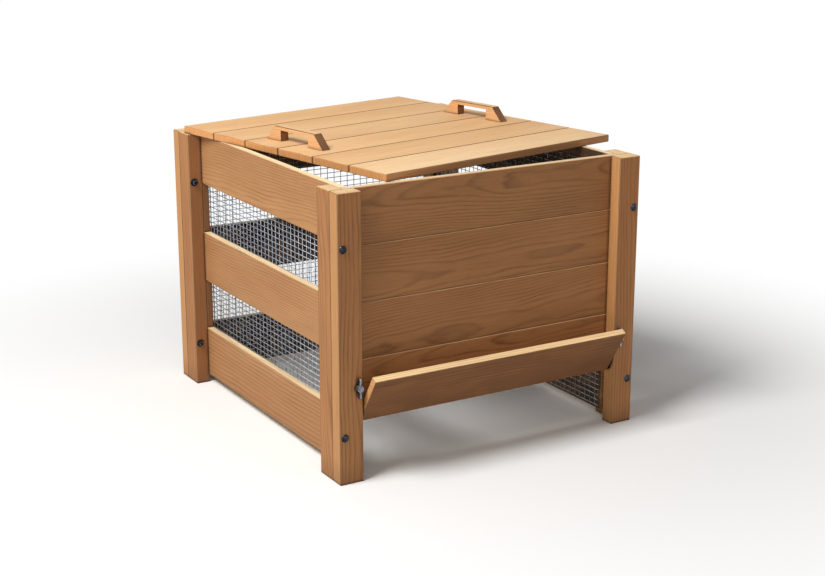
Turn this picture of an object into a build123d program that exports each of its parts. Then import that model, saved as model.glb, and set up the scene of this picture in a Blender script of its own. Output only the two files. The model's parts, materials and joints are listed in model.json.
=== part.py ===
from build123d import *
import os
from math import cos, radians, sin

# Slatted timber compost bin with bolted corner posts, mesh-backed walls, a swinging hatch at the foot
# of the front and a loose planked lid that lies askew on top. Sizes are in millimetres. The origin is
# the middle of the footprint on the ground, the hatch faces -Y and +Z is up.

# Overall size
overall_width = 880
overall_depth = 964
overall_height = 720

# Timber sections
stile_width = 64
stile_thickness = 38
board_width = 140
board_thickness = 19
edge_chamfer = 1.5

# Wall boards
front_board_count = 4
front_board_gap = 1
wall_board_count = 3
wall_ground_gap = 22

# Carriage bolts that hold each post's two stiles together
bolt_diameter = 8
bolt_clearance = 0.2
bolt_inset = 14
bolt_low_height = 120
bolt_top_drop = 134
bolt_end_length = 4
bolt_head_diameter = 20
bolt_head_height = 6
bolt_neck_height = 5
bolt_washer_diameter = 20
bolt_washer_thickness = 1.6
nut_across_flats = 13
nut_thickness = 6.5
thread_clearance = 0.05

# Wood screws
screw_diameter = 4.5
screw_head_diameter = 8.5
screw_head_depth = 3
screw_point_length = 6
recess_span = 4.6
recess_width = 1.2
recess_depth = 2
screw_clearance = 0.05
board_screw_bite = 25
board_screw_spacing = 90
cleat_screw_bite = 13
cleat_screw_spacing = 80
handle_screw_bite = 22

# Wire mesh and its staples
mesh_wire = 2
mesh_pitch = 44
mesh_bottom = 30
mesh_top_drop = 30
mesh_corner_gap = 10
staple_wire = 1.4
staple_span = 8
staple_leg = 10
staple_clearance = 0.05
staple_column_step = 4

# Hatch flap and its pivot
flap_lean = 32
flap_end_gap = 3.5
flap_ground_gap = 31
pivot_stand_off = 16
pivot_rise = 5
pivot_edge = 11
pin_diameter = 10
pin_in_stile = 30
pin_in_flap = 45
pin_running_clearance = 0.05
pin_end_play = 1
seat_clearance = 0.02
pivot_washer_diameter = 24
pivot_washer_thickness = 3
pivot_washer_clearance = 0.25

# Threaded studs and the wing nuts that hold the raised flap
stud_diameter = 10
stud_inset = 13
stud_rise = 80
stud_bite = 32
stud_end_length = 5
stud_washer_diameter = 20
stud_washer_thickness = 2
wing_nut_height = 12
wing_nut_base_diameter = 20
wing_nut_tip_diameter = 16
wing_nut_lift = 0.2
wing_span = 52
wing_lobe_radius = 5.8
wing_lobe_height = 6.2
wing_root_radius = 3.5
wing_root_height = 5
wing_thickness = 5
wing_edge_radius = 1

# Lid
lid_turn = 10.5
lid_x = 27
lid_y = 64
lid_plank_count = 6
lid_plank_gap = 2.5
lid_side_bearing = 7
lid_end_bearing = 5
cleat_width = 64
cleat_spacing = 300
cleat_wall_clearance = 6
handle_length = 236
handle_top_length = 162
handle_height = 39
handle_thickness = 25
handle_slot_length = 116
handle_slot_height = 29
handle_inset = 75
handle_rear_shift = 12

# Planes that the pieces share, measured out from the middle of the bin
half_width = overall_width / 2
half_depth = overall_depth / 2
post_middle = overall_height / 2
side_face = half_width - stile_thickness
side_inner = side_face - board_thickness
cross_face = half_depth - stile_thickness
cross_inner = cross_face - board_thickness
face_stile_edge = half_width - stile_width
side_stile_edge = cross_face - stile_width

# Heights of the middles of the boards, from the top down
front_pitch = board_width + front_board_gap
front_heights = [overall_height - board_width / 2 - i * front_pitch for i in range(front_board_count)]
front_bottom = front_heights[-1] - board_width / 2
wall_rise = (overall_height - wall_ground_gap - board_width) / (wall_board_count - 1)
wall_heights = [overall_height - board_width / 2 - i * wall_rise for i in range(wall_board_count)]
spacer_length = wall_rise - board_width
spacer_heights = [height - wall_rise / 2 for height in wall_heights[:-1]]

# Places across the joints between boards and stiles
cross_screw_x = (face_stile_edge + side_face) / 2
side_screw_y = (side_stile_edge + cross_inner) / 2
bolt_x = half_width - bolt_inset
bolt_heights = (bolt_low_height, overall_height - bolt_top_drop)

# Hatch pivot and studs
pivot_y = -(cross_face + pivot_stand_off)
pivot_z = front_bottom + pivot_rise
flap_height = pivot_z - flap_ground_gap + pivot_edge
flap_end = face_stile_edge - flap_end_gap
stud_x = face_stile_edge + stud_inset
stud_z = pivot_z + stud_rise

# Lid sizes, taken from the opening that it covers
lid_length = 2 * (side_inner + lid_side_bearing)
lid_depth = 2 * (cross_inner + lid_end_bearing)
lid_plank_pitch = (lid_depth + lid_plank_gap) / lid_plank_count
lid_plank_width = lid_plank_pitch - lid_plank_gap
cleat_x = cleat_spacing / 2
cleat_swing = (cleat_x + cleat_width / 2) * sin(radians(lid_turn))
cleat_room = cross_inner - cleat_wall_clearance - lid_y - cleat_swing
cleat_reach = cleat_room / cos(radians(lid_turn))
handle_x = lid_length / 2 - handle_inset

SIDES = ((-1, "left"), (1, "right"))
ENDS = ((-1, "front"), (1, "rear"))
SIGNS = (-1, 1)
FROM_BASE = (Align.CENTER, Align.CENTER, Align.MIN)

os.makedirs("parts", exist_ok=True)


def save(piece, label):
    """Labels a finished piece and writes it."""
    piece.part.label = label
    export_step(piece.part, f"parts/{label}.step")


def eased_block(length, width, height):
    """A squared block of wood with its edges eased, centred on the origin."""
    with BuildPart() as block:
        Box(length, width, height)
        chamfer(block.edges(), edge_chamfer)
    return block.part


def bar(diameter, length):
    """A round bar that stands on the origin."""
    with BuildPart() as rod:
        Cylinder(diameter / 2, length, align=FROM_BASE)
    return rod.part


def ring(diameter, bore, thickness):
    """A flat washer that lies on the origin."""
    with BuildPart() as washer:
        with BuildSketch():
            Circle(diameter / 2)
            Circle(bore / 2, mode=Mode.SUBTRACT)
        extrude(amount=thickness)
    return washer.part


def screw_blank(length, clearance):
    """A countersunk screw along +Z with its head flush at the origin, larger all round by a clearance."""
    head = screw_head_diameter / 2 + clearance
    shank = screw_diameter / 2 + clearance
    end = length + clearance
    with BuildPart() as screw:
        with BuildSketch(Plane.XZ):
            with BuildLine():
                Polyline(
                    (0, 0),
                    (head, 0),
                    (shank, screw_head_depth),
                    (shank, end - screw_point_length),
                    (0, end),
                    close=True,
                )
            make_face()
        revolve(axis=Axis.Z)
    return screw.part


def wood_screw(length):
    """A screw with a cross recess in its head."""
    with BuildPart() as screw:
        add(screw_blank(length, 0))
        with PolarLocations(0, 2, angular_range=180):
            Box(recess_span, recess_width, recess_depth, align=FROM_BASE, mode=Mode.SUBTRACT)
    return screw.part


def screw_hole(length):
    """The hole that a screw of that length makes."""
    return screw_blank(length, screw_clearance)


def facing(x, y, z, direction, up=None):
    """A place at a point, with its Z along a direction and its X along another, where that matters."""
    return Plane(origin=(x, y, z), x_dir=up, z_dir=direction).location


def timber(label, centre, size, cuts):
    """A length of wood with its holes cut. Each cut is a shape and the places where it is taken out."""
    with BuildPart() as piece:
        with Locations(centre):
            add(eased_block(*size))
        for shape, places in cuts:
            with Locations(*places):
                add(shape, mode=Mode.SUBTRACT)
    save(piece, label)


# Screws that fix the boards and the spacers to the stiles, driven from inside the bin
board_screw_length = board_thickness + board_screw_bite
board_screw = wood_screw(board_screw_length)
board_screw_hole = screw_hole(board_screw_length)


def pair(height):
    """The heights of a board's two screws."""
    return (height - board_screw_spacing / 2, height + board_screw_spacing / 2)


def cross_screws(sx, sy, heights):
    """Screws through the front or rear boards into a face stile."""
    return [facing(sx * cross_screw_x, sy * cross_inner, z, (0, sy, 0)) for z in heights]


def side_screws(sx, sy, heights):
    """Screws through the side boards into a side stile."""
    return [facing(sx * side_inner, sy * side_screw_y, z, (sx, 0, 0)) for z in heights]


front_screw_heights = [z for height in front_heights for z in pair(height)]
wall_screw_heights = [z for height in wall_heights for z in pair(height)] + spacer_heights
cross_screw_heights = {-1: front_screw_heights, 1: wall_screw_heights}

# Corner posts: a face stile and a side stile, bolted together through their widths
bolt_grip = stile_thickness + stile_width
bolt_hole_width = bolt_diameter + 2 * bolt_clearance
with BuildPart() as bolt_hole:
    add(bar(bolt_hole_width, bolt_grip))
    Box(bolt_hole_width, bolt_hole_width, bolt_neck_height + bolt_clearance, align=FROM_BASE)
pin_hole = bar(pin_diameter + 2 * pin_running_clearance, pin_in_stile + pin_end_play)
stud_hole = bar(stud_diameter + 2 * seat_clearance, stud_bite)
bolt_places = []
nut_places = []
all_screws = []
for sx, side in SIDES:
    for sy, end in ENDS:
        bolts = [facing(sx * bolt_x, sy * half_depth, z, (0, -sy, 0)) for z in bolt_heights]
        bolt_places += bolts
        nut_places += [facing(sx * bolt_x, sy * side_stile_edge, z, (0, -sy, 0)) for z in bolt_heights]
        into_face = cross_screws(sx, sy, cross_screw_heights[sy])
        into_side = side_screws(sx, sy, wall_screw_heights)
        all_screws += into_face + into_side
        face_cuts = [(bolt_hole.part, bolts), (board_screw_hole, into_face)]
        if sy < 0:
            face_cuts.append((pin_hole, [facing(sx * face_stile_edge, pivot_y, pivot_z, (sx, 0, 0))]))
            face_cuts.append((stud_hole, [facing(sx * stud_x, -half_depth, stud_z, (0, 1, 0))]))
        timber(
            f"{end}_{side}_face_stile",
            (sx * (half_width - stile_width / 2), sy * (half_depth - stile_thickness / 2), post_middle),
            (stile_width, stile_thickness, overall_height),
            face_cuts,
        )
        timber(
            f"{end}_{side}_side_stile",
            (sx * (half_width - stile_thickness / 2), sy * (cross_face - stile_width / 2), post_middle),
            (stile_thickness, stile_width, overall_height),
            [(bolt_hole.part, bolts), (board_screw_hole, into_side)],
        )

# Carriage bolts with square necks, and their washers and nuts
bolt_length = bolt_grip + bolt_washer_thickness + nut_thickness + bolt_end_length
with BuildPart() as bolt:
    with BuildSketch(Plane.XZ):
        with BuildLine():
            SagittaArc((bolt_head_diameter / 2, 0), (-bolt_head_diameter / 2, 0), bolt_head_height)
            Polyline(
                (-bolt_head_diameter / 2, 0),
                (-bolt_diameter / 2, 0),
                (-bolt_diameter / 2, bolt_length),
                (bolt_diameter / 2, bolt_length),
                (bolt_diameter / 2, 0),
                (bolt_head_diameter / 2, 0),
            )
        make_face()
        split(bisect_by=Plane.YZ)
    revolve(axis=Axis.Z)
    Box(bolt_diameter, bolt_diameter, bolt_neck_height, align=FROM_BASE)
with BuildPart() as nut:
    with BuildSketch():
        RegularPolygon(nut_across_flats / 2, 6, major_radius=False)
        Circle(bolt_diameter / 2 + thread_clearance, mode=Mode.SUBTRACT)
    extrude(amount=nut_thickness)

with BuildPart() as carriage_bolts:
    with Locations(*bolt_places):
        add(bolt)
save(carriage_bolts, "carriage_bolts")

with BuildPart() as bolt_washers:
    with Locations(*nut_places):
        add(ring(bolt_washer_diameter, bolt_hole_width, bolt_washer_thickness))
save(bolt_washers, "bolt_washers")

with BuildPart() as bolt_nuts:
    with Locations(*[place * Location((0, 0, bolt_washer_thickness)) for place in nut_places]):
        add(nut)
save(bolt_nuts, "bolt_nuts")

with BuildPart() as board_screws:
    with Locations(*all_screws):
        add(board_screw)
save(board_screws, "board_screws")

# Mesh panels, each one flat net, and the staples that hold them to the boards
mesh_height = overall_height - mesh_bottom - mesh_top_drop
mesh_rows = round(mesh_height / mesh_pitch)
mesh_row_pitch = (mesh_height - mesh_wire) / mesh_rows

with BuildPart() as staple:
    with Locations((0, 0, -mesh_wire - staple_wire / 2)):
        Box(staple_span + staple_wire, staple_wire, staple_wire)
    with Locations((-staple_span / 2, 0, -mesh_wire), (staple_span / 2, 0, -mesh_wire)):
        Box(staple_wire, staple_wire, mesh_wire + staple_leg, align=FROM_BASE)
with BuildPart() as staple_hole:
    hole_width = staple_wire + 2 * staple_clearance
    with Locations((-staple_span / 2, 0), (staple_span / 2, 0)):
        Box(hole_width, hole_width, staple_leg + staple_clearance, align=FROM_BASE)


def net(label, plane, width):
    """A flat square mesh on a plane, standing off it by the wire's thickness."""
    columns = round(width / mesh_pitch)
    column_pitch = (width - mesh_wire) / columns
    with BuildPart() as mesh:
        with BuildSketch(plane):
            Rectangle(width, mesh_height)
            with GridLocations(column_pitch, mesh_row_pitch, columns, mesh_rows):
                Rectangle(column_pitch - mesh_wire, mesh_row_pitch - mesh_wire, mode=Mode.SUBTRACT)
        extrude(amount=mesh_wire)
    save(mesh, label)
    first = (columns - 1) % staple_column_step // 2
    return [(i - (columns - 1) / 2) * column_pitch for i in range(first, columns, staple_column_step)]


def staple_height(board_height):
    """The height of the mesh wire nearest to a board's middle."""
    row = round((board_height - mesh_bottom) / mesh_row_pitch)
    return mesh_bottom + mesh_wire / 2 + row * mesh_row_pitch


mesh_middle = mesh_bottom + mesh_height / 2
side_mesh_width = 2 * (cross_inner - mesh_corner_gap)
rear_mesh_width = 2 * (side_inner - mesh_corner_gap)
all_staples = []

# Left and right walls
for sx, side in SIDES:
    mesh_plane = Plane(origin=(sx * side_inner, 0, mesh_middle), x_dir=(0, -sx, 0), z_dir=(-sx, 0, 0))
    staple_places = net(f"{side}_mesh", mesh_plane, side_mesh_width)
    for i, height in enumerate(wall_heights):
        z = staple_height(height)
        staples = [facing(sx * side_inner, y, z, (sx, 0, 0), (0, 0, 1)) for y in staple_places]
        all_staples += staples
        screws = [place for sy in SIGNS for place in side_screws(sx, sy, pair(height))]
        timber(
            f"{side}_board_{i + 1}",
            (sx * (side_face - board_thickness / 2), 0, height),
            (board_thickness, 2 * cross_inner, board_width),
            [(board_screw_hole, screws), (staple_hole.part, staples)],
        )
    block = eased_block(board_thickness, cross_inner - side_stile_edge, spacer_length)
    with BuildPart() as side_spacers:
        for sy in SIGNS:
            block_x = sx * (side_face - board_thickness / 2)
            with Locations(*[(block_x, sy * side_screw_y, z) for z in spacer_heights]):
                add(block)
            with Locations(*side_screws(sx, sy, spacer_heights)):
                add(board_screw_hole, mode=Mode.SUBTRACT)
    save(side_spacers, f"{side}_spacers")

# Rear wall
mesh_plane = Plane(origin=(0, cross_inner, mesh_middle), x_dir=(1, 0, 0), z_dir=(0, -1, 0))
staple_places = net("rear_mesh", mesh_plane, rear_mesh_width)
for i, height in enumerate(wall_heights):
    z = staple_height(height)
    staples = [facing(x, cross_inner, z, (0, 1, 0), (0, 0, 1)) for x in staple_places]
    all_staples += staples
    screws = [place for sx in SIGNS for place in cross_screws(sx, 1, pair(height))]
    timber(
        f"rear_board_{i + 1}",
        (0, cross_face - board_thickness / 2, height),
        (2 * side_face, board_thickness, board_width),
        [(board_screw_hole, screws), (staple_hole.part, staples)],
    )
block = eased_block(side_face - face_stile_edge, board_thickness, spacer_length)
with BuildPart() as rear_spacers:
    for sx in SIGNS:
        block_y = cross_face - board_thickness / 2
        with Locations(*[(sx * cross_screw_x, block_y, z) for z in spacer_heights]):
            add(block)
        with Locations(*cross_screws(sx, 1, spacer_heights)):
            add(board_screw_hole, mode=Mode.SUBTRACT)
save(rear_spacers, "rear_spacers")

with BuildPart() as mesh_staples:
    with Locations(*all_staples):
        add(staple)
save(mesh_staples, "mesh_staples")

# Front wall
for i, height in enumerate(front_heights):
    screws = [place for sx in SIGNS for place in cross_screws(sx, -1, pair(height))]
    timber(
        f"front_board_{i + 1}",
        (0, -(cross_face - board_thickness / 2), height),
        (2 * side_face, board_thickness, board_width),
        [(board_screw_hole, screws)],
    )

# Hatch flap, modelled as it leans: its plane's X is the pivot and its Y runs to the free edge
flap_out = (0, -cos(radians(flap_lean)), -sin(radians(flap_lean)))
flap_plane = Plane(origin=(0, pivot_y, pivot_z), x_dir=(1, 0, 0), z_dir=flap_out)
pin_inner_ends = [Location((sx * (flap_end - pin_in_flap), 0, 0), (0, sx * 90, 0)) for sx in SIGNS]

with BuildPart(flap_plane) as hatch_flap:
    with Locations((0, flap_height / 2 - pivot_edge, 0)):
        add(eased_block(2 * flap_end, flap_height, board_thickness))
    with Locations(*pin_inner_ends):
        add(bar(pin_diameter + 2 * seat_clearance, pin_in_flap), mode=Mode.SUBTRACT)
save(hatch_flap, "hatch_flap")

with BuildPart(flap_plane) as hatch_pins:
    with Locations(*pin_inner_ends):
        add(bar(pin_diameter, pin_in_flap + flap_end_gap + pin_in_stile))
save(hatch_pins, "hatch_pins")

with BuildPart() as hatch_washers:
    with Locations(*[facing(sx * face_stile_edge, pivot_y, pivot_z, (-sx, 0, 0)) for sx in SIGNS]):
        add(ring(pivot_washer_diameter, pin_diameter + 2 * pivot_washer_clearance, pivot_washer_thickness))
save(hatch_washers, "hatch_washers")

# Studs in the front stiles, and the wing nuts on them with their wings upright
stud_reach = stud_washer_thickness + wing_nut_lift + wing_nut_height + stud_end_length
with BuildPart() as hatch_studs:
    with Locations(*[facing(sx * stud_x, stud_bite - half_depth, stud_z, (0, -1, 0)) for sx in SIGNS]):
        add(bar(stud_diameter, stud_bite + stud_reach))
save(hatch_studs, "hatch_studs")

with BuildPart() as stud_washers:
    with Locations(*[facing(sx * stud_x, -half_depth, stud_z, (0, -1, 0)) for sx in SIGNS]):
        add(ring(stud_washer_diameter, stud_diameter + 2 * bolt_clearance, stud_washer_thickness))
save(stud_washers, "stud_washers")

lobe_x = wing_span / 2 - wing_lobe_radius
with BuildPart() as wing_nut:
    for end in SIGNS:
        with BuildSketch(Plane.XZ):
            with Locations((0, wing_root_height)):
                Circle(wing_root_radius)
            with Locations((end * lobe_x, wing_lobe_height)):
                Circle(wing_lobe_radius)
            make_hull()
    extrude(amount=wing_thickness / 2, both=True)
    fillet(wing_nut.faces().filter_by(Axis.Y).edges(), wing_edge_radius)
    Cone(wing_nut_base_diameter / 2, wing_nut_tip_diameter / 2, wing_nut_height, align=FROM_BASE)
    Cylinder(stud_diameter / 2 + thread_clearance, wing_nut_height, align=FROM_BASE, mode=Mode.SUBTRACT)

nut_y = -(half_depth + stud_washer_thickness + wing_nut_lift)
for sx, side in SIDES:
    nut_plane = Plane(origin=(sx * stud_x, nut_y, stud_z), x_dir=(0, 0, 1), z_dir=(0, -1, 0))
    with BuildPart(nut_plane) as placed_nut:
        add(wing_nut)
    save(placed_nut, f"wing_nut_{side}")

# Lid, modelled on its own plane at the top of the walls
lid_x_dir = (cos(radians(lid_turn)), sin(radians(lid_turn)), 0)
lid_plane = Plane(origin=(lid_x, lid_y, overall_height), x_dir=lid_x_dir, z_dir=(0, 0, 1))
plank_places = [(i - (lid_plank_count - 1) / 2) * lid_plank_pitch for i in range(lid_plank_count)]
outer_plank_edge = plank_places[-1] - lid_plank_width / 2

# Each inner plank takes two screws from a cleat, and each outer one takes one where the cleat reaches it
cleat_screw_ys = [(outer_plank_edge + cleat_reach) / 2 * sy for sy in SIGNS]
for y in plank_places[1:-1]:
    cleat_screw_ys += [y - cleat_screw_spacing / 2, y + cleat_screw_spacing / 2]
cleat_screw_places = [
    Location((sx * cleat_x, y, -board_thickness)) for sx in SIGNS for y in cleat_screw_ys
]
cleat_screw_length = board_thickness + cleat_screw_bite
cleat_screw_hole = screw_hole(cleat_screw_length)

# Each handle's two legs are screwed from under the planks
handle_leg_y = (handle_slot_length + handle_top_length) / 4 + screw_head_diameter
handle_screw_places = [
    Location((sx * handle_x, handle_rear_shift + sy * handle_leg_y, 0)) for sx in SIGNS for sy in SIGNS
]
handle_screw_length = board_thickness + handle_screw_bite
handle_screw_hole = screw_hole(handle_screw_length)

for i, y in enumerate(plank_places):
    half = lid_plank_width / 2
    with BuildPart(lid_plane) as lid_plank:
        with Locations((0, y, board_thickness / 2)):
            add(eased_block(lid_length, lid_plank_width, board_thickness))
        with Locations(*[p for p in cleat_screw_places if abs(p.position.Y - y) < half]):
            add(cleat_screw_hole, mode=Mode.SUBTRACT)
        for place in handle_screw_places:
            if abs(place.position.Y - y) < half:
                with Locations(place):
                    add(handle_screw_hole, mode=Mode.SUBTRACT)
    save(lid_plank, f"lid_plank_{i + 1}")

for sx, side in SIDES:
    with BuildPart(lid_plane) as lid_cleat:
        with Locations((sx * cleat_x, 0, -board_thickness / 2)):
            add(eased_block(cleat_width, 2 * cleat_reach, board_thickness))
        with Locations(*[p for p in cleat_screw_places if p.position.X * sx > 0]):
            add(cleat_screw_hole, mode=Mode.SUBTRACT)
    save(lid_cleat, f"lid_cleat_{side}")

    handle_plane = Plane(
        origin=lid_plane.from_local_coords((sx * handle_x, handle_rear_shift, board_thickness)),
        x_dir=lid_plane.y_dir,
        z_dir=lid_plane.x_dir,
    )
    with BuildPart(lid_plane) as lid_handle:
        with BuildSketch(handle_plane):
            with BuildLine():
                Polyline(
                    (-handle_length / 2, 0),
                    (-handle_top_length / 2, handle_height),
                    (handle_top_length / 2, handle_height),
                    (handle_length / 2, 0),
                    (handle_slot_length / 2, 0),
                    (handle_slot_length / 2, handle_slot_height),
                    (-handle_slot_length / 2, handle_slot_height),
                    (-handle_slot_length / 2, 0),
                    close=True,
                )
            make_face()
        extrude(amount=handle_thickness / 2, both=True)
        chamfer(lid_handle.edges().group_by(Axis.Z)[-1], edge_chamfer)
        with Locations(*[p for p in handle_screw_places if p.position.X * sx > 0]):
            add(handle_screw_hole, mode=Mode.SUBTRACT)
    save(lid_handle, f"lid_handle_{side}")

with BuildPart(lid_plane) as cleat_screws:
    with Locations(*cleat_screw_places):
        add(wood_screw(cleat_screw_length))
save(cleat_screws, "cleat_screws")

with BuildPart(lid_plane) as handle_screws:
    with Locations(*handle_screw_places):
        add(wood_screw(handle_screw_length))
save(handle_screws, "handle_screws")
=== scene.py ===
"""A slatted timber compost bin with mesh-backed walls, a raised hatch and a loose lid.

Lengths are in metres."""

import json
import math
import random
from dataclasses import dataclass

import bmesh
import bpy
from mathutils import Matrix, Vector


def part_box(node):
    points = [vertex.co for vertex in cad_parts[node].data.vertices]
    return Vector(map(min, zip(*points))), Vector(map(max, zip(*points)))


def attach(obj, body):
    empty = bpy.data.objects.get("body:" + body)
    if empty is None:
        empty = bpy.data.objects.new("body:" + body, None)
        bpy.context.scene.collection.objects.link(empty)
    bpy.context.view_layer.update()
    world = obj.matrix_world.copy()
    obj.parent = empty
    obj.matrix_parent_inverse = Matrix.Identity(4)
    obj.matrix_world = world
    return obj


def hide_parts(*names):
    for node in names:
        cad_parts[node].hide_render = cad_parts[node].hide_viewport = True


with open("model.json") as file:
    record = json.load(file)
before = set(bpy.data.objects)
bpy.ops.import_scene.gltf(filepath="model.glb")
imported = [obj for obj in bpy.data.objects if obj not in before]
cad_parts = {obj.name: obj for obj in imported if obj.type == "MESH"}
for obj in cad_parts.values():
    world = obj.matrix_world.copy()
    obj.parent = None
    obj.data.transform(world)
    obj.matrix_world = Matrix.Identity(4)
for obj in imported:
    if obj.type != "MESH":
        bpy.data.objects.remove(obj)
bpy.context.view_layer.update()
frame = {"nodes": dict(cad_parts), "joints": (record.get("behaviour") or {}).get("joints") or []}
nodes = frame["nodes"]
joints = {joint["name"]: joint for joint in frame["joints"]}

X, Y, Z = Vector((1, 0, 0)), Vector((0, 1, 0)), Vector((0, 0, 1))
WHITE = (1.0, 1.0, 1.0, 1.0)

# Names of the frame's pieces
WALL_SIDES = ("left", "right")
PLANKS = [f"lid_plank_{i}" for i in range(1, 7)]
FRONT_BOARDS = [f"front_board_{i}" for i in range(1, 5)]


def srgb(red, green, blue):
    """A colour as a shader takes it, from the usual 0 to 255 values."""

    def linear(value):
        share = value / 255
        return share / 12.92 if share <= 0.04045 else ((share + 0.055) / 1.055) ** 2.4

    return (linear(red), linear(green), linear(blue), 1.0)


# Node helpers


def set_input(tree, socket, value):
    """Sets an input to a value, or links it to another node's output."""
    if isinstance(value, bpy.types.NodeSocket):
        tree.links.new(value, socket)
    else:
        socket.default_value = value


def add_node(tree, kind, inputs=None, **settings):
    """A node with its settings and inputs."""
    node = tree.nodes.new(kind)
    for name, value in settings.items():
        setattr(node, name, value)
    for name, value in (inputs or {}).items():
        set_input(tree, node.inputs[name], value)
    return node


def calc(tree, operation, a, b=0.0):
    """The output of a Math node."""
    return add_node(tree, "ShaderNodeMath", {0: a, 1: b}, operation=operation).outputs[0]


def product(tree, *values):
    """Several values multiplied together."""
    result = values[0]
    for value in values[1:]:
        result = calc(tree, "MULTIPLY", result, value)
    return result


def largest(tree, *values):
    """The largest of several values."""
    result = values[0]
    for value in values[1:]:
        result = calc(tree, "MAXIMUM", result, value)
    return result


def vector_calc(tree, operation, a, b=(0, 0, 0)):
    """The vector output of a Vector Math node."""
    return add_node(tree, "ShaderNodeVectorMath", {0: a, 1: b}, operation=operation).outputs[0]


def parts_of(tree, vector):
    """The X, Y and Z of a vector."""
    return add_node(tree, "ShaderNodeSeparateXYZ", {0: vector}).outputs


def mapped(tree, vector, place, turn):
    """A vector as seen from a place, in axes that are turned."""
    inputs = {"Vector": vector, "Location": place, "Rotation": turn.to_euler()}
    return add_node(tree, "ShaderNodeMapping", inputs, vector_type="TEXTURE").outputs[0]


def spread(tree, value, band, to=(0.0, 1.0)):
    """A value moved smoothly from a band, which may be part of its range, to another range."""
    low, high = band
    to_low, to_high = to
    inputs = {"Value": value, "From Min": low, "From Max": high, "To Min": to_low, "To Max": to_high}
    return add_node(tree, "ShaderNodeMapRange", inputs, interpolation_type="SMOOTHSTEP").outputs[0]


def noise(tree, vector, stretch, detail=2.0, roughness=0.5):
    """A Noise Texture node, with its scale along each axis."""
    stretched = vector_calc(tree, "MULTIPLY", vector, stretch)
    inputs = {"Vector": stretched, "Scale": 1.0, "Detail": detail, "Roughness": roughness}
    return add_node(tree, "ShaderNodeTexNoise", inputs).outputs


def blend(tree, factor, a, b, mode="MIX"):
    """The colour output of a Mix node, whose inputs 6 and 7 are its two colours."""
    inputs = {0: factor, 6: a, 7: b}
    return add_node(tree, "ShaderNodeMix", inputs, data_type="RGBA", blend_type=mode).outputs[2]


def seen_directly(tree):
    """One for what the eye sees, in the open, in reflections or through glass, and otherwise nought."""
    path = add_node(tree, "ShaderNodeLightPath").outputs
    return largest(tree, path["Is Camera Ray"], path["Is Glossy Ray"], path["Is Transmission Ray"])


def add_bump(tree, surface, height, strength, distance):
    """Relief on a surface."""
    inputs = {"Strength": strength, "Distance": distance, "Height": height}
    bump = add_node(tree, "ShaderNodeBump", inputs)
    tree.links.new(bump.outputs["Normal"], surface.inputs["Normal"])


def new_material(name):
    """A material with only its Principled shader and output."""
    material = bpy.data.materials.new(name)
    material.use_nodes = True
    return material, material.node_tree, material.node_tree.nodes["Principled BSDF"]


def dress(node, material):
    """Gives a frame piece its finish."""
    nodes[node].data.materials.clear()
    nodes[node].data.materials.append(material)


# Wood

# Scale of each pattern along the grain, across the board and through it, in changes a metre
SLOW_SWAY = (2.2, 7.0, 7.0)
QUICK_SWAY = (9.0, 40.0, 40.0)
RING_PATCHES = (6.0, 22.0, 22.0)
FIBRES = (9.0, 420.0, 420.0)
PORES = (38.0, 900.0, 900.0)
TONES = (1.6, 9.0, 9.0)
END_TICKS = (10.0, 150.0, 16.0)
STAIN_BLOTCHES = (9.0, 22.0, 22.0)

# Band of each noise in which its pattern shows, and the shares that it gives there
RING_PATCH_BAND, RING_PATCH_SHARE = (0.3, 0.7), (0.45, 1.0)
FIBRE_BAND, FIBRE_SHADE = (0.3, 0.7), (0.90, 1.06)
PORE_BAND, PORE_SHADE = (0.62, 0.72), (1.0, 0.84)
TONE_BAND = (0.25, 0.75)
CORNER_SHARE_BAND = (0.3, 0.6)
TICK_BAND = (0.45, 0.66)
BLOTCH_BAND = (0.3, 0.6)

# How the pith's place varies between boards, and how far the rings waver
PITH_ALONG = 0.3
PITH_ACROSS_SHARE = (0.6, 1.4)
PITH_UNDER_SHARE = (0.7, 1.3)
RING_WAVER = 0.005

# How dark a ring is at places through its width, and where it meets the next one
RING_LEVELS = ((0.06, 0.06), (0.35, 0.0), (0.64, 0.14), (0.90, 1.0))
RING_TURN = 0.45

# Scale at which a Wave Texture has one ring in a metre, and how strongly rings show on narrow edges
WAVE_RING = math.pi / 10
EDGE_RINGS = 0.5

# How nearly a normal has to lie along one of the board's own axes on a flat face, and on an eased corner
FLAT_BAND = (0.8, 0.95)
CORNER_BAND = (0.78, 0.92)

# Openness in which the painted shade of grooves and crevices shows, and the reach and the samples that it
# is judged with
GROOVE_BAND = (0.6, 0.95)
CREVICE_BAND = (0.45, 0.95)
CREVICE_REACH = 0.010
CREVICE_SAMPLES = 6
CORNER_FREE_OF_SHADE = 0.8

# Darkening along the seams, damp near the ground, and painted light on the eased corners: those that look
# up take more of their corner colour than those that look down
SEAM_REACH = 0.0035
DAMP_BAND = (0.02, 0.10)
DAMP_UNEVEN = 0.06
DAMP_SHADE = 0.74
FACING_UP_BAND, FACING_UP_SHARE = (-0.5, 0.0), (0.15, 1.0)

# What is left of the wood's colour on inner faces: soaked with compost and painted shade for the dark
# inside of the bin, and on the flap lightly splashed and painted shade for a face that looks down
SOAKED_AND_SHADED = (0.08, 0.07, 0.06, 1.0)
SPLASHED_AND_SHADED = (0.47, 0.41, 0.30, 1.0)
INNER_BAND = (0.0, 0.4)

# Finish of early and late wood, and relief of the rings and fibres
WOOD_ROUGHNESS = (0.66, 0.52)
WOOD_SPECULAR = 0.3
RING_RELIEF = 0.6
FIBRE_RELIEF = 0.5
WOOD_BUMP = 0.3
WOOD_BUMP_DEPTH = 0.0005


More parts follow.
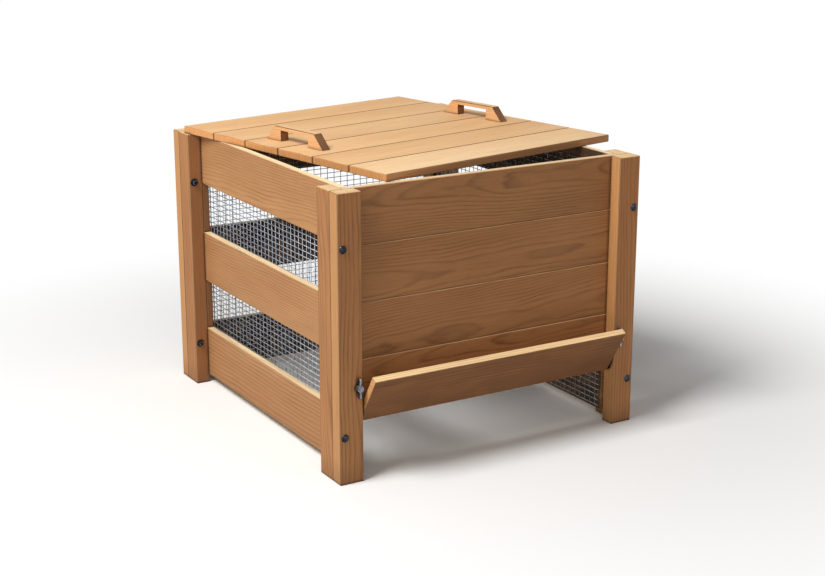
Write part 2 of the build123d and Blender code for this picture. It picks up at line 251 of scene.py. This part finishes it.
@dataclass
class Timber:
    """How a wooden piece was cut from its log, and how it has aged.

    along and across are the directions of the grain and of the piece's width. inside says which of its two
    faces looks into the bin, by its sign along the third direction, and how much of that face is darkened,
    by staining and painted shade.
    stain_and_shade is the share of colour left there, and patchy is how unevenly. tone is how light the
    piece is."""

    along: Vector
    across: Vector
    palette: dict
    cut: dict
    inside: float = 0.0
    stain_and_shade: tuple = SOAKED_AND_SHADED
    patchy: float = 0.45
    tone: float = 1.0


def grain_frame(along, across):
    """A turn from a board's own axes, along and across the grain, to the frame's."""
    return Matrix((along, across, along.cross(across))).transposed()


def own_box(node, turn):
    """The middle of a frame piece, and half its size along its own axes."""
    points = [turn.transposed() @ vertex.co for vertex in nodes[node].data.vertices]
    low = Vector([min(point[axis] for point in points) for axis in range(3)])
    high = Vector([max(point[axis] for point in points) for axis in range(3)])
    return turn @ (low + high) / 2, (high - low) / 2


def place_in_log(cut, chance):
    """Where the pith lies from the middle of a board, and how the log is turned from the board."""
    pith = Vector((
        chance.uniform(-PITH_ALONG, PITH_ALONG),
        chance.choice((-1, 1)) * cut["pith_across"] * chance.uniform(*PITH_ACROSS_SHARE),
        -cut["pith_under"] * chance.uniform(*PITH_UNDER_SHARE),
    ))
    tilt = Matrix.Rotation(chance.uniform(-1, 1) * cut["tilt"], 3, "Y")
    tilt = tilt @ Matrix.Rotation(chance.uniform(-1, 1) * cut["tilt"], 3, "Z")
    return pith, tilt


def sway(tree, vector, stretch, amount):
    """An uneven shift of a vector, across the grain only."""
    shift = vector_calc(tree, "SUBTRACT", noise(tree, vector, stretch)["Color"], (0.5, 0.5, 0.5))
    return vector_calc(tree, "MULTIPLY", shift, (0.0, amount, amount))


def late_wood(tree, log, cut):
    """How strongly the dark end of each growth ring shows, in a log that wanders along its length."""
    slow = sway(tree, log, SLOW_SWAY, cut["wander"])
    quick = sway(tree, log, QUICK_SWAY, RING_WAVER)
    wandering = vector_calc(tree, "ADD", vector_calc(tree, "ADD", log, slow), quick)
    rings = add_node(
        tree,
        "ShaderNodeTexWave",
        {"Vector": wandering, "Scale": WAVE_RING / cut["ring"], "Distortion": 0.0},
        wave_type="RINGS",
        rings_direction="X",
        wave_profile="SAW",
    )
    shape = add_node(tree, "ShaderNodeValToRGB", {"Fac": rings.outputs["Fac"]})
    ramp = shape.color_ramp
    for end in ramp.elements:
        end.color = (RING_TURN, RING_TURN, RING_TURN, 1)
    for position, level in RING_LEVELS:
        ramp.elements.new(position).color = (level, level, level, 1)
    patches = spread(tree, noise(tree, log, RING_PATCHES)["Fac"], RING_PATCH_BAND, RING_PATCH_SHARE)
    return product(tree, shape.outputs["Color"], patches, cut["contrast"])


def openness(tree):
    """How open the space before a surface is: low in grooves and where pieces meet."""
    inputs = {"Distance": CREVICE_REACH}
    return add_node(tree, "ShaderNodeAmbientOcclusion", inputs, samples=CREVICE_SAMPLES).outputs["AO"]


def face_kinds(tree, normal):
    """How far a surface is an end, a narrow edge and an eased corner of its board."""
    facing = parts_of(tree, vector_calc(tree, "ABSOLUTE", normal))
    end = spread(tree, facing["X"], FLAT_BAND)
    narrow = spread(tree, facing["Y"], FLAT_BAND)
    straight_on = largest(tree, facing["X"], facing["Y"], facing["Z"])
    corner = spread(tree, straight_on, CORNER_BAND, (1.0, 0.0))
    return end, narrow, corner


def corner_wear_and_light(tree, cut, corner, tone, upward, open_sky):
    """How much of its corner colour each eased corner takes, a colour that is wear and painted light:
    unevenly, less where the corner looks down, as painted light from above, and by the cut in grooves.
    """
    uneven = spread(tree, tone, CORNER_SHARE_BAND, cut["corner_share"])
    facing_up = spread(tree, upward, FACING_UP_BAND, FACING_UP_SHARE)
    open_corner = spread(tree, open_sky, GROOVE_BAND, (cut["groove_corner_share"], 1.0))
    return product(tree, corner, uneven, facing_up, open_corner)


def face_colour(tree, timber, own, late, tone, end_face, narrow_face):
    """The colour of clean wood on the faces, the narrow edges and the ticked ends; the palettes' edge and
    end colours carry painted light and shade, by the way those faces lie to the lamp.
    """
    palette = timber.palette
    face = blend(tree, spread(tree, tone, TONE_BAND), palette["light"], palette["mid"])
    face = blend(tree, late, face, palette["dark"])
    edge = blend(tree, product(tree, late, EDGE_RINGS), palette["edge"], palette["mid"])
    ticks = spread(tree, noise(tree, own, END_TICKS)["Fac"], TICK_BAND, (0.0, timber.cut["ticks"]))
    end = blend(tree, ticks, palette["end"], palette["dark"])
    return blend(tree, end_face, blend(tree, narrow_face, face, edge), end)


def stained_and_shaded_inside(tree, timber, colour, own, normal):
    """The colour with blotchy darkening on the face that looks into the bin: staining, and painted shade
    for the dark inside.
    """
    inner_face = spread(tree, product(tree, parts_of(tree, normal)["Z"], timber.inside), INNER_BAND)
    blotch = noise(tree, own, STAIN_BLOTCHES, detail=3.0)["Fac"]
    blotch = spread(tree, blotch, BLOTCH_BAND, (1.0 - timber.patchy, 1.0))
    darkened = blend(tree, 1.0, colour, timber.stain_and_shade, "MULTIPLY")
    return blend(tree, product(tree, inner_face, blotch, abs(timber.inside)), colour, darkened)


def seam_shade(tree, cut, own, half_width, narrow_face):
    """Darker along the sides of the wide faces: a share of colour left near them."""
    from_edge = calc(tree, "SUBTRACT", half_width, calc(tree, "ABSOLUTE", parts_of(tree, own)["Y"]))
    seam = spread(tree, from_edge, (0.0, SEAM_REACH), (1.0 - cut["seam"], 1.0))
    return spread(tree, narrow_face, (0.0, 1.0), (seam, 1.0))


def crevice_shade(tree, cut, wear_and_painted_light, open_sky):
    """Painted shade where pieces meet and in grooves, darker where the space before a surface is less
    open: a share of colour left, with corners that take their corner colour kept free of it.
    """
    deepest = spread(tree, wear_and_painted_light, (0.0, CORNER_FREE_OF_SHADE), (1.0 - cut["grime_and_painted_shade"], 1.0))
    return spread(tree, open_sky, CREVICE_BAND, (deepest, 1.0))


def damp_shade(tree, place, tone):
    """Damp near the ground: a share of colour left, up to an uneven line."""
    height = calc(tree, "ADD", parts_of(tree, place)["Z"], product(tree, tone, DAMP_UNEVEN))
    return spread(tree, height, DAMP_BAND, (DAMP_SHADE, 1.0))


def wood(node, timber, chance):
    """Solid wood: growth rings about a pith near the board, fibres, edges and ends in their own colours
    that carry painted light and shade, eased corners in a colour of wear and painted light (pale on some
    palettes, dark on others), darkening along the seams, painted shade where pieces meet, staining with
    painted shade on the inside and damp at the ground."""
    material, tree, surface = new_material(f"wood_{node}")
    cut = timber.cut
    turn = grain_frame(timber.along, timber.across)
    middle, half = own_box(node, turn)
    pith, tilt = place_in_log(cut, chance)
    board_tone = timber.tone * chance.uniform(1 - cut["board_tone"], 1 + cut["board_tone"])

    coordinates = add_node(tree, "ShaderNodeTexCoord").outputs
    own = mapped(tree, coordinates["Object"], middle, turn)
    normal = mapped(tree, coordinates["Normal"], (0, 0, 0), turn)
    log = mapped(tree, own, pith, tilt)
    end_face, narrow_face, corner = face_kinds(tree, normal)
    open_sky = openness(tree)

    # Rings, fibres, short pores and slow changes of tone
    late = late_wood(tree, log, cut)
    fibre = noise(tree, log, FIBRES, detail=3.0, roughness=0.6)["Fac"]
    pores = noise(tree, log, PORES, detail=1.0)["Fac"]
    tone = noise(tree, log, TONES, detail=3.0)["Fac"]

    # Colour, then the corners' wear and painted light and the inside's staining and painted shade, then
    # what shades it, painted shade where pieces meet among it
    colour = face_colour(tree, timber, own, late, tone, end_face, narrow_face)
    upward = parts_of(tree, coordinates["Normal"])["Z"]
    wear_and_painted_light = corner_wear_and_light(tree, cut, corner, tone, upward, open_sky)
    colour = blend(tree, wear_and_painted_light, colour, timber.palette["wear_and_painted_light"])
    if timber.inside:
        colour = stained_and_shaded_inside(tree, timber, colour, own, normal)
    shade = product(
        tree,
        spread(tree, fibre, FIBRE_BAND, FIBRE_SHADE),
        spread(tree, pores, PORE_BAND, PORE_SHADE),
        board_tone,
        seam_shade(tree, cut, own, half.y, narrow_face),
        crevice_shade(tree, cut, wear_and_painted_light, open_sky),
        damp_shade(tree, coordinates["Object"], tone),
    )
    colour = blend(tree, 1.0, colour, shade, "MULTIPLY")
    tree.links.new(colour, surface.inputs["Base Color"])

    # Late wood is a little smoother, and stands a little proud
    tree.links.new(spread(tree, late, (0.0, 1.0), WOOD_ROUGHNESS), surface.inputs["Roughness"])
    relief = calc(tree, "ADD", product(tree, late, RING_RELIEF), product(tree, fibre, FIBRE_RELIEF))
    add_bump(tree, surface, relief, WOOD_BUMP, WOOD_BUMP_DEPTH)
    surface.inputs["Specular IOR Level"].default_value = WOOD_SPECULAR
    return material


# Face stiles: a darker copy of the side stiles' wood, painted shade set for the faces that look to the
# front; pale narrow edges, painted light on the sides that face the lamp; cream ends, painted light on the
# tops; pale corners, painted highlight with some wear
POST_PALETTE = {
    "light": srgb(177, 123, 74),
    "mid": srgb(160, 106, 61),
    "dark": srgb(110, 66, 34),
    "edge": srgb(197, 142, 89),
    "end": srgb(238, 200, 150),
    "wear_and_painted_light": srgb(226, 178, 124),
}
# Side stiles: lighter faces, painted light on the sides of the bin, and darker narrow edges, painted shade
# where they look to the front
SIDE_STILE_PALETTE = {
    **POST_PALETTE,
    "light": srgb(187, 131, 80),
    "mid": srgb(169, 113, 66),
    "dark": srgb(118, 71, 37),
    "edge": srgb(152, 101, 61),
}
# Spacers: a darker copy of the post wood, partly painted shade for the strip beside the posts
SPACER_PALETTE = {
    **POST_PALETTE,
    "light": srgb(142, 96, 60),
    "mid": srgb(128, 84, 51),
    "dark": srgb(94, 59, 33),
    "edge": srgb(136, 90, 55),
    "wear_and_painted_light": srgb(156, 108, 68),
}
# Wall boards: cream narrow edges and pale corners, painted highlight on the lit top edges, with some wear
# on the corners
WALL_PALETTE = {
    "light": srgb(187, 138, 90),
    "mid": srgb(173, 122, 76),
    "dark": srgb(126, 82, 47),
    "edge": srgb(250, 220, 174),
    "end": srgb(196, 146, 96),
    "wear_and_painted_light": srgb(244, 208, 158),
}
# Front boards: a darker copy of the wall wood, painted shade for the front, which the lamp reaches only at
# a slant; their cream edges and pale corners are painted highlight with some wear
FRONT_PALETTE = {
    "light": srgb(173, 120, 73),
    "mid": srgb(157, 106, 62),
    "dark": srgb(108, 67, 36),
    "edge": srgb(250, 220, 174),
    "end": srgb(196, 146, 96),
    "wear_and_painted_light": srgb(248, 190, 134),
}
# Flap: a pale edge and pale corners, painted highlight on its top edge, with some wear on the corners
FLAP_PALETTE = {
    **FRONT_PALETTE,
    "edge": srgb(246, 208, 156),
    "end": srgb(212, 156, 98),
    "wear_and_painted_light": srgb(240, 200, 146),
}
# Lid planks: dark narrow edges, painted shade on the front edge that looks away from the lamp, and dark
# corners, painted shade in the seams between the planks
LID_PALETTE = {
    "light": srgb(234, 190, 138),
    "mid": srgb(222, 174, 120),
    "dark": srgb(186, 130, 80),
    "edge": srgb(186, 130, 82),
    "end": srgb(214, 150, 92),
    "wear_and_painted_light": srgb(170, 116, 72),
}
FRONT_PLANK_PALETTE = {**LID_PALETTE, "light": srgb(233, 198, 152), "mid": srgb(225, 186, 138)}
# Handles: dark ends and dark corners, painted shade on the sloped ends that look to the front
HANDLE_PALETTE = {
    "light": srgb(235, 184, 131),
    "mid": srgb(224, 169, 115),
    "dark": srgb(180, 123, 76),
    "edge": srgb(226, 184, 136),
    "end": srgb(134, 88, 53),
    "wear_and_painted_light": srgb(100, 62, 35),
}

# Ways of sawing a board: the pith's distance, a ring's width, how far the rings wander and the log tilts,
# then how strongly the rings, the board's own tone, darkening along seams, the corner colour of wear and
# painted light, its share in grooves, painted shade where pieces meet and end ticks show
RIFT_SAWN = {
    "pith_across": 0.12,
    "pith_under": 0.09,
    "ring": 0.0066,
    "wander": 0.026,
    "tilt": math.radians(2.0),
    "contrast": 0.75,
    "board_tone": 0.03,
    "seam": 0.25,
    "corner_share": (0.35, 0.8),
    "groove_corner_share": 1.0,
    "grime_and_painted_shade": 0.58,
    "ticks": 0.55,
}
# Front and rear boards take more of their pale corner colour, as painted highlight along the seams
FLAT_SAWN = {
    **RIFT_SAWN,
    "pith_across": 0.045,
    "pith_under": 0.065,
    "ring": 0.0058,
    "wander": 0.03,
    "tilt": math.radians(2.6),
    "corner_share": (0.75, 1.0),
}
# Posts: strong darkening along the seams, no pale corner colour in grooves and deep painted shade there,
# for the dark line where the two stiles meet
POST_SAWN = {
    **RIFT_SAWN,
    "pith_across": 0.05,
    "pith_under": 0.07,
    "ring": 0.0072,
    "wander": 0.03,
    "seam": 0.6,
    "groove_corner_share": 0.0,
    "grime_and_painted_shade": 0.9,
    "ticks": 0.22,
}
WIDE_SAWN = {**RIFT_SAWN, "ring": 0.0115, "contrast": 0.9}
LID_SAWN = {**RIFT_SAWN, "contrast": 0.38, "ring": 0.006, "board_tone": 0.0, "seam": 0.62}
# The handles' sloped ends count as eased corners, and take the dark corner colour as painted shade
HANDLE_SAWN = {**RIFT_SAWN, "contrast": 0.5, "ring": 0.005, "seam": 0.1, "corner_share": (0.85, 1.0)}

# Own tones of each post, each lid plank from the front to the rear, and each front board from the top
# down. The front boards grow lighter downwards, painted light against the shade that deepens towards the
# flap, and the front right post is lighter to lift its shaded inner edge
POST_TONES = {"front_left": 0.88, "front_right": 1.05, "rear_left": 0.96, "rear_right": 1.0}
PLANK_TONES = (1.06, 0.97, 1.0, 0.95, 0.99, 1.03)
FRONT_TONES = (0.79, 0.89, 0.99, 1.2)

# Cuts of the left and right boards from the top down
SIDE_CUTS = (RIFT_SAWN, RIFT_SAWN, WIDE_SAWN)

# How much of the face that looks into the bin is darkened, by staining and by painted shade for the dark
# inside of the bin; the flap's face is painted darker, and more evenly, as shade because it looks down at
# rest
WALL_STAIN_AND_SHADE = 0.9
SPACER_STAIN_AND_SHADE = 0.8
LID_STAIN_AND_SHADE = 0.45
FLAP_STAIN_AND_SHADE = 1.0
FLAP_PATCHY = 0.15

# How the lid and the flap lie
LID_TURN = math.radians(10.5)
FLAP_LEAN = math.radians(-joints["flap_pivot"]["range_deg"][0])
lid_along = Vector((math.cos(LID_TURN), math.sin(LID_TURN), 0))
lid_across = Z.cross(lid_along)
flap_up = Vector((0, -math.sin(FLAP_LEAN), math.cos(FLAP_LEAN)))

timbers = {}
for corner, tone in POST_TONES.items():
    timbers[f"{corner}_face_stile"] = Timber(Z, X, POST_PALETTE, POST_SAWN, tone=tone)
    timbers[f"{corner}_side_stile"] = Timber(Z, Y, SIDE_STILE_PALETTE, POST_SAWN, tone=tone)
for board, tone in zip(FRONT_BOARDS, FRONT_TONES):
    timbers[board] = Timber(X, Z, FRONT_PALETTE, FLAT_SAWN, inside=-WALL_STAIN_AND_SHADE, tone=tone)
for i, side_cut in enumerate(SIDE_CUTS, 1):
    timbers[f"rear_board_{i}"] = Timber(X, Z, WALL_PALETTE, FLAT_SAWN, inside=WALL_STAIN_AND_SHADE)
    timbers[f"left_board_{i}"] = Timber(Y, Z, WALL_PALETTE, side_cut, inside=WALL_STAIN_AND_SHADE)
    timbers[f"right_board_{i}"] = Timber(Y, Z, WALL_PALETTE, side_cut, inside=-WALL_STAIN_AND_SHADE)
timbers["rear_spacers"] = Timber(Z, X, SPACER_PALETTE, POST_SAWN, inside=-SPACER_STAIN_AND_SHADE)
timbers["left_spacers"] = Timber(Z, Y, SPACER_PALETTE, POST_SAWN, inside=-SPACER_STAIN_AND_SHADE)
timbers["right_spacers"] = Timber(Z, Y, SPACER_PALETTE, POST_SAWN, inside=SPACER_STAIN_AND_SHADE)
for side in WALL_SIDES:
    timbers[f"lid_cleat_{side}"] = Timber(lid_across, lid_along, WALL_PALETTE, RIFT_SAWN)
    timbers[f"lid_handle_{side}"] = Timber(lid_across, Z, HANDLE_PALETTE, HANDLE_SAWN)
for plank, tone in zip(PLANKS, PLANK_TONES):
    palette = FRONT_PLANK_PALETTE if plank == PLANKS[0] else LID_PALETTE
    timbers[plank] = Timber(lid_along, lid_across, palette, LID_SAWN, inside=-LID_STAIN_AND_SHADE, tone=tone)
# The flap's inner face looks down at rest; its darkening is painted shade for that, with light staining
timbers["hatch_flap"] = Timber(
    X, flap_up, FLAP_PALETTE, RIFT_SAWN, inside=FLAP_STAIN_AND_SHADE, stain_and_shade=SPLASHED_AND_SHADED, patchy=FLAP_PATCHY
)

SEED = 11
chance = random.Random(SEED)
for node, timber in timbers.items():
    dress(node, wood(node, timber, chance))


# Metal

# Scale of each pattern along X, Y and Z, in changes a metre, and the band of its noise in which it shows
CLOUDS = (90.0, 90.0, 90.0)
SCRATCHES = (260.0, 1500.0, 900.0)
CLOUD_BAND = (0.35, 0.65)
GRIME_BAND = (0.3, 0.7)
SCRATCH_BAND = (0.4, 0.7)
SCRATCH_ROUGHNESS = 0.06
METAL_BUMP = 0.15
METAL_BUMP_DEPTH = 0.0002


def metal(name, base, wear_and_painted_light, roughness, grime_and_painted_shade):
    """Plated steel with cloudy tone, faint scratches and dull patches."""
    material, tree, surface = new_material(name)
    place = add_node(tree, "ShaderNodeTexCoord").outputs["Object"]
    cloud = noise(tree, place, CLOUDS, detail=4.0, roughness=0.6)["Fac"]
    scratch = noise(tree, place, SCRATCHES)["Fac"]
    colour = blend(tree, spread(tree, cloud, CLOUD_BAND), base, wear_and_painted_light)
    tree.links.new(colour, surface.inputs["Base Color"])
    dull = spread(tree, cloud, GRIME_BAND, (0.0, grime_and_painted_shade))
    scratched = spread(tree, scratch, SCRATCH_BAND, (0.0, SCRATCH_ROUGHNESS))
    rough = calc(tree, "ADD", calc(tree, "ADD", dull, scratched), roughness)
    tree.links.new(rough, surface.inputs["Roughness"])
    surface.inputs["Metallic"].default_value = 1.0
    add_bump(tree, surface, scratch, METAL_BUMP, METAL_BUMP_DEPTH)
    return material


bolt_steel = metal("bolt_steel", srgb(38, 40, 46), srgb(62, 66, 73), roughness=0.12, grime_and_painted_shade=0.10)
nut_steel = metal("nut_steel", srgb(114, 124, 138), srgb(152, 159, 170), roughness=0.16, grime_and_painted_shade=0.10)
screw_steel = metal("screw_steel", srgb(150, 142, 116), srgb(176, 168, 146), roughness=0.28, grime_and_painted_shade=0.12)
galvanised = metal("galvanised_mesh", srgb(146, 154, 164), srgb(184, 190, 198), roughness=0.38, grime_and_painted_shade=0.16)

for node in ("carriage_bolts", "bolt_washers", "hatch_washers", "hatch_pins", "stud_washers"):
    dress(node, bolt_steel)
for node in ("bolt_nuts", "hatch_studs", "wing_nut_left", "wing_nut_right"):
    dress(node, nut_steel)
for node in ("board_screws", "cleat_screws", "handle_screws"):
    dress(node, screw_steel)
dress("mesh_staples", galvanised)


# Welded wire mesh

# Cells of the frame's net, and how many wires the panel has to each cell
NET_PITCH = 0.044
WIRES_UP_PER_CELL = 2
WIRES_ALONG_PER_CELL = 3
WIRE_SIDES = 8
WELD_DEPTH = 0.0002


def add_wire(bm, middle, run, diameter):
    """A straight round wire with closed ends."""
    turn = run.to_track_quat("Z", "Y").to_matrix().to_4x4()
    bmesh.ops.create_cone(
        bm,
        cap_ends=True,
        segments=WIRE_SIDES,
        radius1=diameter / 2,
        radius2=diameter / 2,
        depth=run.length,
        matrix=Matrix.Translation(middle) @ turn,
    )


def wire_panel(node, along, inward):
    """A panel of welded mesh: wires along the boards, and uprights welded to them on the inner side."""
    low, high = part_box(node)
    middle = (low + high) / 2
    size = high - low
    wire = abs(size.dot(inward))
    width = abs(size.dot(along))
    columns = round(width / NET_PITCH) * WIRES_UP_PER_CELL
    rows = round(size.z / NET_PITCH) * WIRES_ALONG_PER_CELL
    step_along = (width - wire) / columns
    step_up = (size.z - wire) / rows
    bm = bmesh.new()
    for i in range(rows + 1):
        at = middle + Z * ((i - rows / 2) * step_up)
        add_wire(bm, at, along * width, wire)
    for i in range(columns):
        at = middle + inward * (wire - WELD_DEPTH) + along * ((i - (columns - 1) / 2) * step_along)
        add_wire(bm, at, Z * size.z, wire)
    mesh = bpy.data.meshes.new(f"{node}_wires")
    bm.to_mesh(mesh)
    bm.free()
    mesh.shade_smooth()
    mesh.materials.append(galvanised)
    panel = bpy.data.objects.new(f"{node}_wires", mesh)
    bpy.context.scene.collection.objects.link(panel)
    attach(panel, "bin")
    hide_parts(node)


wire_panel("left_mesh", Y, X)
wire_panel("right_mesh", Y, -X)
wire_panel("rear_mesh", X, -Y)


# Stage: a pale floor that fades to white, soft light from the upper left, a weak fill from the front

FLOOR_HALF = 30.0
FLOOR_COLOUR = srgb(250, 249, 247)
FLOOR_ROUGHNESS = 0.9
FLOOR_SPECULAR = 0.1
FADE_BAND = (0.75, 1.9)
AMBIENT = 0.25
LAMP_AIM = Vector((0, 0, 0.4))
LAMP_SIZE = 2.0
KEY_PLACE, KEY_POWER = Vector((-3.0, -0.7, 4.2)), 230
FILL_PLACE, FILL_POWER = Vector((-1.6, -4.2, 2.2)), 22


def floor_material():
    """A matt floor that takes the object's shadow, and fades to white away from it."""
    material, tree, surface = new_material("pale_floor")
    surface.inputs["Base Color"].default_value = FLOOR_COLOUR
    surface.inputs["Roughness"].default_value = FLOOR_ROUGHNESS
    surface.inputs["Specular IOR Level"].default_value = FLOOR_SPECULAR
    place = add_node(tree, "ShaderNodeTexCoord").outputs["Object"]
    far = add_node(tree, "ShaderNodeVectorMath", {0: place}, operation="LENGTH").outputs["Value"]
    glow = add_node(tree, "ShaderNodeEmission", {"Color": WHITE})
    factor = product(tree, spread(tree, far, FADE_BAND), seen_directly(tree))
    mix = add_node(tree, "ShaderNodeMixShader", {0: factor, 1: surface.outputs[0], 2: glow.outputs[0]})
    tree.links.new(mix.outputs[0], tree.nodes["Material Output"].inputs["Surface"])
    return material


def pale_floor():
    """A wide square floor."""
    mesh = bpy.data.meshes.new("floor")
    square = ((-1, -1), (1, -1), (1, 1), (-1, 1))
    mesh.from_pydata([(x * FLOOR_HALF, y * FLOOR_HALF, 0) for x, y in square], [], [(0, 1, 2, 3)])
    mesh.materials.append(floor_material())
    floor = bpy.data.objects.new("floor", mesh)
    bpy.context.scene.collection.objects.link(floor)


def white_world():
    """White to the eye and in reflections, and a dim even light on the object."""
    world = bpy.data.worlds.new("studio")
    world.use_nodes = True
    tree = world.node_tree
    strength = spread(tree, seen_directly(tree), (0.0, 1.0), (AMBIENT, 1.0))
    tree.links.new(strength, tree.nodes["Background"].inputs["Strength"])
    tree.nodes["Background"].inputs["Color"].default_value = WHITE
    bpy.context.scene.world = world


def soft_lamp(name, place, power):
    """A large square lamp, aimed at the middle of the object."""
    data = bpy.data.lights.new(name, "AREA")
    data.size = LAMP_SIZE
    data.energy = power
    lamp = bpy.data.objects.new(name, data)
    lamp.location = place
    lamp.rotation_euler = (LAMP_AIM - place).to_track_quat("-Z", "Y").to_euler()
    bpy.context.scene.collection.objects.link(lamp)


pale_floor()
white_world()
soft_lamp("key", KEY_PLACE, KEY_POWER)
soft_lamp("fill", FILL_PLACE, FILL_POWER)


# Camera that matches the photograph

PHOTO_WIDTH = 825
FOCAL_PIXELS = 1576.6
SENSOR_WIDTH = 36
CAMERA_PLACE = (-2.094, -3.592, 1.505)
CAMERA_YAW = math.radians(30.82)
CAMERA_PITCH = math.radians(-15.99)

camera_data = bpy.data.cameras.new("camera")
camera_data.sensor_width = SENSOR_WIDTH
camera_data.lens = FOCAL_PIXELS / PHOTO_WIDTH * SENSOR_WIDTH
camera = bpy.data.objects.new("camera", camera_data)
camera.location = CAMERA_PLACE
camera.rotation_euler = (math.pi / 2 + CAMERA_PITCH, 0, -CAMERA_YAW)
bpy.context.scene.collection.objects.link(camera)
bpy.context.scene.camera = camera
bpy.context.scene.view_settings.view_transform = "Standard"
